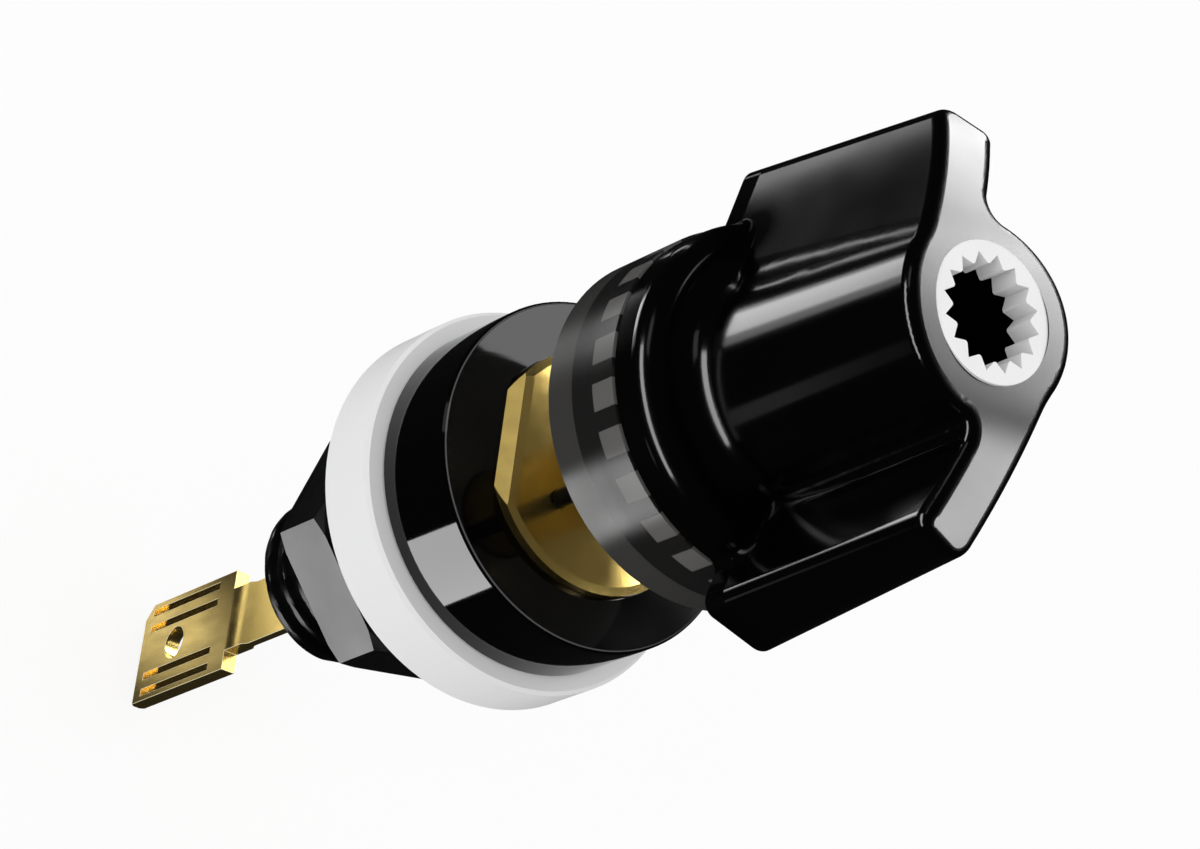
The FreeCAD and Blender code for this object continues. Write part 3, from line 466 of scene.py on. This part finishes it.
def smoked_ring(name, web, wall, skin, rear_bounce, rough):
    """Smoked clear plastic, with light painted into its colour. The solid web is painted lighter for the
    light it scatters, the wall shows the dark hollow, the clamping face at the rear is painted pale so that
    the gold plate mirrors light from it, and the thin skin outside each window is painted lighter for the
    light that comes through it. A window is where the turn, counted in windows, is near a whole number and
    the height is past the windows' rear.
    A ping-pong of half a window gives how far the turn is from the nearest whole number."""
    material, nodes, links, shader, coords = new_material(name)
    shader.inputs["IOR"].default_value = PLASTIC_IOR
    shader.inputs["Transmission Weight"].default_value = RING_CLEARNESS
    x, y, z = parts_of(nodes, links, coords.outputs["Object"])
    in_web = past(nodes, links, z, RING_REAR + BOUNCE_FACE_DEPTH, BOUNCE_FACE_BLUR)
    in_wall = past(nodes, links, z, RING_WEB_END, WEB_BLUR)
    turn = math_node(nodes, links, "ARCTAN2", y, x)
    turn = math_node(nodes, links, "MULTIPLY", turn, WINDOW_COUNT / (2 * math.pi))
    off_middle = math_node(nodes, links, "PINGPONG", turn, 0.5)
    side = WINDOW_SHARE / 2
    in_width = ramp(nodes, links, off_middle, 1.0, 0.0, side - WINDOW_SIDE_BLUR, side + WINDOW_SIDE_BLUR)
    in_height = past(nodes, links, z, WINDOW_REAR, WINDOW_BLUR)
    in_window = math_node(nodes, links, "MULTIPLY", in_width, in_height)
    # Painted light: the rear face is pale for the gold plate to mirror, the web is lighter for the light it
    # scatters, and each window's skin is lighter for the light that comes through it.
    solid = blend_colour(nodes, links, in_web, rear_bounce, web)
    body = blend_colour(nodes, links, in_wall, solid, wall)
    links.new(blend_colour(nodes, links, in_window, body, skin), shader.inputs["Base Color"])
    clouds = noise(nodes, links, coords, RING_CLOUDS)
    links.new(ramp(nodes, links, clouds, rough, rough * RING_ROUGHEST), shader.inputs["Roughness"])
    return material


# Reliefs are in metres.
KNOB_BLACK = knob_plastic("knob_black", colour=(0.0008, 0.0008, 0.0009), gloss=0.13, satin=0.24,
                          rough_spread=0.02, grain_height=0.0000003)
# The base's lighter rim colour is a painted highlight along the flange's bevel.
BASE_BLACK = base_plastic("base_black", colour=(0.0008, 0.0008, 0.0009), rim_highlight=(0.1, 0.1, 0.102),
                          gloss=0.05, satin=0.32, rough_spread=0.01, grain_height=0.0000002)
NUT_BLACK = plastic("nut_black", colour=(0.003, 0.003, 0.0031), rough=0.22, rough_spread=0.03,
                    grain=3000.0, grain_height=0.0000006, ior=1.42)
WHITE = plastic("white_plastic", colour=(0.86, 0.86, 0.862), rough=0.38, rough_spread=0.04,
                grain=2200.0, grain_height=0.000001, ior=1.3)
GOLD = metal("gold_plate", colour=(0.86, 0.63, 0.19), rough=0.19, rough_spread=0.03,
             turning=(1, 1, 0.3), relief=0.0000003)
# A pale, non-metal gold for the tab's edges: a painted highlight.
GOLD_EDGE_HIGHLIGHT = plastic("gold_edge_highlight", colour=(0.93, 0.84, 0.5), rough=0.4, rough_spread=0.03,
                    grain=900.0, grain_height=0.0000003)
BRASS = metal("turned_brass", colour=(0.78, 0.62, 0.34), rough=0.25, rough_spread=0.05,
              turning=(0.2, 0.2, 3))
STEEL = metal("spring_steel", colour=(0.55, 0.55, 0.56), rough=0.25, rough_spread=0.05)
DARK_STEEL = metal("dark_pin", colour=(0.03, 0.03, 0.031), rough=0.3, rough_spread=0.04)
# The ring's pale rear face, lighter web and lighter window skins are painted light.
SMOKE = smoked_ring("smoked_clear", web=(0.05, 0.049, 0.047), wall=(0.014, 0.0135, 0.013),
                    skin=(0.14, 0.137, 0.133), rear_bounce=(0.28, 0.276, 0.27), rough=0.2)

BY_SLOT = {
    "black_gloss": KNOB_BLACK, "black_satin": NUT_BLACK, "white_plastic": WHITE, "gold_plate": GOLD,
    "brass_parts": BRASS, "spring_steel": STEEL, "pin_black": DARK_STEEL, "smoked_clear": SMOKE,
}


def dress_cad_nodes():
    """Gives each CAD node the material of its slot. The base's gloss isn't the knob's."""
    for part in frame["record"]["subparts"]:
        node = frame["nodes"][part["node"]]
        node.data.materials.clear()
        node.data.materials.append(BY_SLOT[part["material_slot"]])
    frame["nodes"]["base_body"].data.materials[0] = BASE_BLACK


# Studio: lengths in metres, angles in degrees.

WHITE_LIGHT = (1, 1, 1, 1)

# Where a lamp stands and what it faces, if its call says nothing else.
LAMP_DISTANCE = 0.5
OBJECT_MIDDLE = (0, 0, 0.015)

# The floor is partly its own glow to the eye and partly lit paper, which holds the shadow.
FLOOR_HEIGHT = -0.0445
FLOOR_REACH = 3.0
FLOOR_PAPER = (0.95, 0.95, 0.95, 1)
FLOOR_BRIGHTNESS = 1.02
FLOOR_GLOW = 0.8

# The world's brightness to matt surfaces, to the eye and in reflections.
WORLD_FILL = 0.8
WORLD_BACKGROUND = 0.98
WORLD_REFLECTED = 0.012

# The camera, solved from the circles in the photograph. Its sensor is in millimetres, like its lens.
SENSOR_WIDTH = 36.0
CAMERA_LENS = 133.531
CAMERA_PLACE = (0.115694, -0.152820, 0.233711)
CAMERA_TURN = (18.8131, -37.3416, 98.6789)
CAMERA_NEAREST = 0.01


def direction(azimuth, elevation):
    """The unit vector that way from the object, degrees."""
    a = math.radians(azimuth)
    e = math.radians(elevation)
    return Vector((math.cos(e) * math.cos(a), math.cos(e) * math.sin(a), math.sin(e)))


def softbox(name, start, end, breadth, brightness, distance=LAMP_DISTANCE, shows="gloss",
            aim=OBJECT_MIDDLE):
    """A rectangular light that faces the object. It reaches from one direction to another, each given as
    azimuth and elevation, and is breadth degrees wide. It shows in gloss only, or lights matt surfaces
    only. Brightness 1 is the brightness of lit white paper."""
    first, last = direction(*start), direction(*end)
    middle = (first + last).normalized()
    along = (last - first).normalized()
    light = bpy.data.lights.new(name, "AREA")
    light.shape = "RECTANGLE"
    light.size = 2 * distance * math.tan(first.angle(last) / 2)
    light.size_y = 2 * distance * math.tan(math.radians(breadth / 2))
    light.energy = brightness * math.pi * light.size * light.size_y
    lamp = bpy.data.objects.new(name, light)
    bpy.context.scene.collection.objects.link(lamp)
    across = middle.cross(along)
    lamp.rotation_euler = Matrix((along, across, middle)).transposed().to_euler()
    lamp.location = Vector(aim) + middle * distance
    lamp.visible_diffuse = shows == "matt"
    lamp.visible_glossy = shows == "gloss"


def make_lamps():
    """Each gloss lamp stands where one highlight of the photograph mirrors it, and the last two light the
    matt surfaces."""
    # The knob's arched front, from its upper tip to its lower one.
    softbox("front_low_box", (151, 6), (141, 33), 12, 12.0)
    softbox("front_box", (141, 34), (104, 48), 7, 20.0)
    softbox("front_far_box", (100, 50), (58, 40), 10, 17.0, distance=0.08, aim=(0.0115, 0.0012, 0.050))
    # The flange's front, and the patches on the flange's side, the pressure ring and the nut's flat.
    softbox("flange_box", (150, 50), (129, 50), 8, 3.4)
    softbox("low_box", (-58, -50), (-12, -50), 14, 7.0)
    # The knob's hub: a bright band with a soft border, and a weak one below it.
    softbox("band_box", (-147, -38), (-125, -38), 10, 4.5)
    softbox("band_halo", (-151, -37), (-116, -37), 13, 1.8)
    softbox("weak_box", (-60, -37), (-46, -37), 6, 0.4)
    # Rounded edges all over, and the slope of the contact plate's flat.
    softbox("edge_box", (-110, 6), (-36, 6), 16, 7.0)
    softbox("slope_box", (-130, 32), (-108, 32), 12, 0.7)
    # Near the object: a strip along the far edge of the upper wing, and the face of the tab.
    softbox("wing_box", (-157.7, -60), (-157.7, -24), 2.4, 2.5, distance=0.03,
            aim=(-0.0139, -0.0034, 0.041))
    softbox("tab_box", (-132, -55), (-122, -55), 6, 1.3, distance=0.08, aim=(-0.002, -0.0006, -0.040))
    # The light of the room on matt surfaces.
    softbox("key_box", (-90, 22), (-50, 22), 40, 1.05, shows="matt")
    softbox("left_key_box", (160, 25), (200, 25), 40, 0.5, shows="matt")


def make_floor():
    """A wide pale floor. It is white to the eye, keeps the shadow, and lets reflections see the lights.
    From below it is clear, so the part can be seen from there."""
    square = ((-1, -1), (1, -1), (1, 1), (-1, 1))
    corners = [(x * FLOOR_REACH, y * FLOOR_REACH, FLOOR_HEIGHT) for x, y in square]
    mesh = bpy.data.meshes.new("floor")
    mesh.from_pydata(corners, [], [(0, 1, 2, 3)])
    floor = bpy.data.objects.new("floor", mesh)
    bpy.context.scene.collection.objects.link(floor)
    material = bpy.data.materials.new("floor_white")
    nodes, links = empty_tree(material)
    output = nodes.new("ShaderNodeOutputMaterial")
    paper = nodes.new("ShaderNodeBsdfDiffuse")
    paper.inputs["Color"].default_value = FLOOR_PAPER
    glow = nodes.new("ShaderNodeEmission")
    glow.inputs["Strength"].default_value = FLOOR_BRIGHTNESS
    clear = nodes.new("ShaderNodeBsdfTransparent")
    path = nodes.new("ShaderNodeLightPath")
    side = nodes.new("ShaderNodeNewGeometry")
    glowing = math_node(nodes, links, "MULTIPLY", path.outputs["Is Camera Ray"], FLOOR_GLOW)
    unseen = math_node(nodes, links, "MAXIMUM", path.outputs["Is Glossy Ray"], side.outputs["Backfacing"])
    seen = mix_shaders(nodes, links, glowing, paper.outputs["BSDF"], glow.outputs["Emission"])
    whole = mix_shaders(nodes, links, unseen, seen, clear.outputs["BSDF"])
    links.new(whole, output.inputs["Surface"])
    mesh.materials.append(material)


def mix_shaders(nodes, links, factor, first, second):
    """The first shader at factor 0 and the second at factor 1."""
    node = nodes.new("ShaderNodeMixShader")
    links.new(factor, node.inputs["Fac"])
    links.new(first, node.inputs[1])
    links.new(second, node.inputs[2])
    return node.outputs["Shader"]


def make_world():
    """White to the eye, soft grey fill for matt surfaces and nearly black in reflections."""
    world = bpy.data.worlds.new("studio")
    bpy.context.scene.world = world
    nodes, links = empty_tree(world)
    output = nodes.new("ShaderNodeOutputWorld")
    path = nodes.new("ShaderNodeLightPath")
    fill = nodes.new("ShaderNodeBackground")
    fill.inputs["Color"].default_value = WHITE_LIGHT
    seen = ramp(nodes, links, path.outputs["Is Camera Ray"], WORLD_FILL, WORLD_BACKGROUND, 0.0, 1.0)
    links.new(seen, fill.inputs["Strength"])
    dark = nodes.new("ShaderNodeBackground")
    dark.inputs["Color"].default_value = WHITE_LIGHT
    dark.inputs["Strength"].default_value = WORLD_REFLECTED
    whole = mix_shaders(nodes, links, path.outputs["Is Glossy Ray"],
                        fill.outputs["Background"], dark.outputs["Background"])
    links.new(whole, output.inputs["Surface"])


def make_camera():
    """The photo's view: near the object, looking down along the post with the knob to the upper right."""
    data = bpy.data.cameras.new("camera")
    data.sensor_width = SENSOR_WIDTH
    data.sensor_fit = "HORIZONTAL"
    data.lens = CAMERA_LENS
    data.clip_start = CAMERA_NEAREST
    camera = bpy.data.objects.new("camera", data)
    bpy.context.scene.collection.objects.link(camera)
    camera.location = CAMERA_PLACE
    camera.rotation_euler = [math.radians(angle) for angle in CAMERA_TURN]
    bpy.context.scene.camera = camera


dress_cad_nodes()
make_moulded_base()
make_stamped_tab()
make_world()
make_floor()
make_camera()
make_lamps()

bpy.context.scene.view_settings.view_transform = "Standard"
